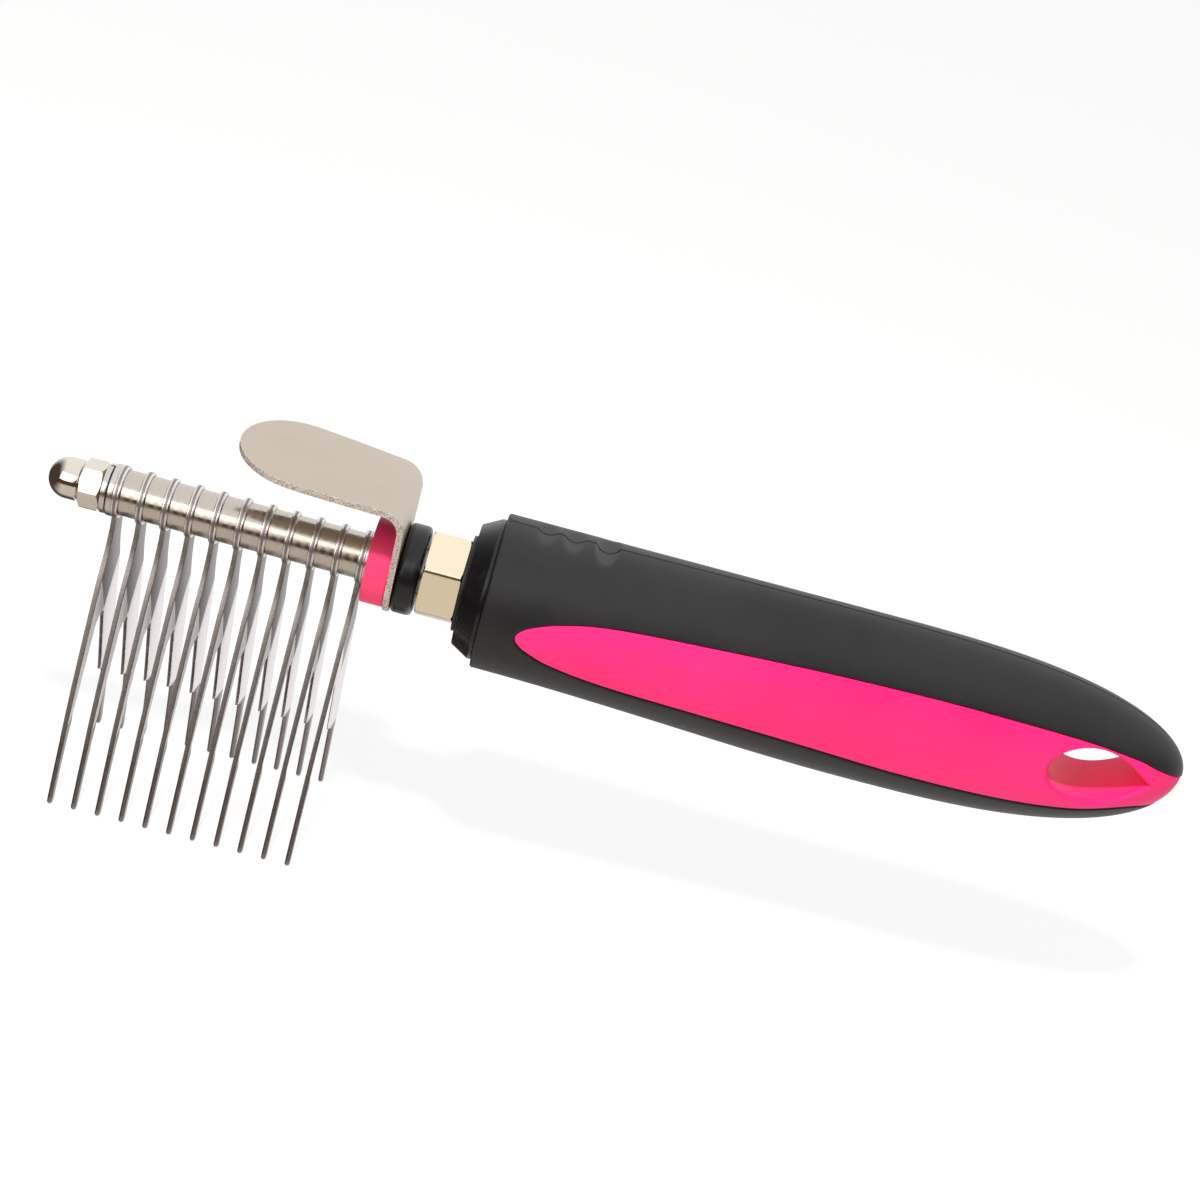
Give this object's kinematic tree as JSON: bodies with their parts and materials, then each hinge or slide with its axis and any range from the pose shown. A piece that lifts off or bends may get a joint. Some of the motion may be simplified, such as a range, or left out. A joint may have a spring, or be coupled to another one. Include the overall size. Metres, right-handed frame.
{
  "type": "dematting comb",
  "caption": "Dematting comb: a row of forked steel blades stacked on a rod, with a bent thumb rest and a soft-skinned handle that has an eye-shaped hanging hole.",
  "frame": {"origin": "centre of the hanging hole in the handle's tail, on the rod's axis and midway through the handle", "axes": "the rod's axis is X; the blades and the cap nut are at -X and the tail of the handle is at +X; the forks point to -Z and the thumb rest is on the +Z side; Y is the handle's thickness"},
  "size_m": [0.2115, 0.0332, 0.0759],
  "materials": {
    "pink_core": "satin, moulded",
    "grip_rubber": "matte, fine grained",
    "black_plastic": "glossy, moulded",
    "insert_brass": "machined",
    "rod_steel": "ground",
    "ring_rubber": "matte",
    "nut_brass": "bright, pale gold",
    "thumb_steel": "satin, punched and bent sheet",
    "pink_disc": "satin, moulded",
    "washer_steel": "bright",
    "blade_steel": "ground and polished",
    "spacer_steel": "polished tube",
    "cap_nickel": "polished nickel plate"
  },
  "bodies": {
    "handle": {"handle_core": "pink_core", "grip_sleeve": "grip_rubber", "end_bush": "black_plastic", "threaded_insert": "insert_brass", "centre_rod": "rod_steel", "rod_collar": "black_plastic", "spacer_disc": "pink_disc", "inner_washer": "washer_steel"},
    "blade_pack": {"blade_01": "blade_steel", "blade_02": "blade_steel", "blade_03": "blade_steel", "blade_04": "blade_steel", "blade_05": "blade_steel", "blade_06": "blade_steel", "blade_07": "blade_steel", "blade_08": "blade_steel", "blade_09": "blade_steel", "blade_10": "blade_steel", "blade_11": "blade_steel", "spacer_01": "spacer_steel", "spacer_02": "spacer_steel", "spacer_03": "spacer_steel", "spacer_04": "spacer_steel", "spacer_05": "spacer_steel", "spacer_06": "spacer_steel", "spacer_07": "spacer_steel", "spacer_08": "spacer_steel", "spacer_09": "spacer_steel", "spacer_10": "spacer_steel"},
    "thumb_rest": {"thumb_rest": "thumb_steel"},
    "end_washers": {"flat_washer": "washer_steel", "spring_washer": "washer_steel"},
    "cap_nut": {"cap_nut": "cap_nickel"},
    "sealing_ring": {"sealing_ring": "ring_rubber"},
    "lock_nut": {"lock_nut": "nut_brass"}
  },
  "joints": [
    {"name": "blade_pack_swivel", "type": "hinge", "parent": "handle", "child": "blade_pack", "pos_m": [-0.16, 0, 0], "axis": [1, 0, 0], "range_deg": [-75, 75]},
    {"name": "thumb_rest_swivel", "type": "hinge", "parent": "handle", "child": "thumb_rest", "pos_m": [-0.1292, 0, 0], "axis": [1, 0, 0], "range_deg": [-25, 25]},
    {"name": "end_washers_slide", "type": "slide", "parent": "handle", "child": "end_washers", "axis": [-1, 0, 0], "range_m": [0, 0.0032]},
    {"name": "cap_nut_turn", "type": "hinge", "parent": "end_washers", "child": "cap_nut", "pos_m": [-0.1853, 0, 0], "axis": [-1, 0, 0], "range_deg": [0, 1445]},
    {"name": "sealing_ring_slide", "type": "slide", "parent": "handle", "child": "sealing_ring", "axis": [-1, 0, 0], "range_m": [0, 0.0004]},
    {"name": "lock_nut_turn", "type": "hinge", "parent": "sealing_ring", "child": "lock_nut", "pos_m": [-0.1205, 0, 0], "axis": [-1, 0, 0], "range_deg": [0, 116]}
  ],
  "couplings": [
    {"joint": "cap_nut_turn", "follows": "end_washers_slide", "rad_per_m": 7854},
    {"joint": "lock_nut_turn", "follows": "sealing_ring_slide", "rad_per_m": 5026.5}
  ]
}
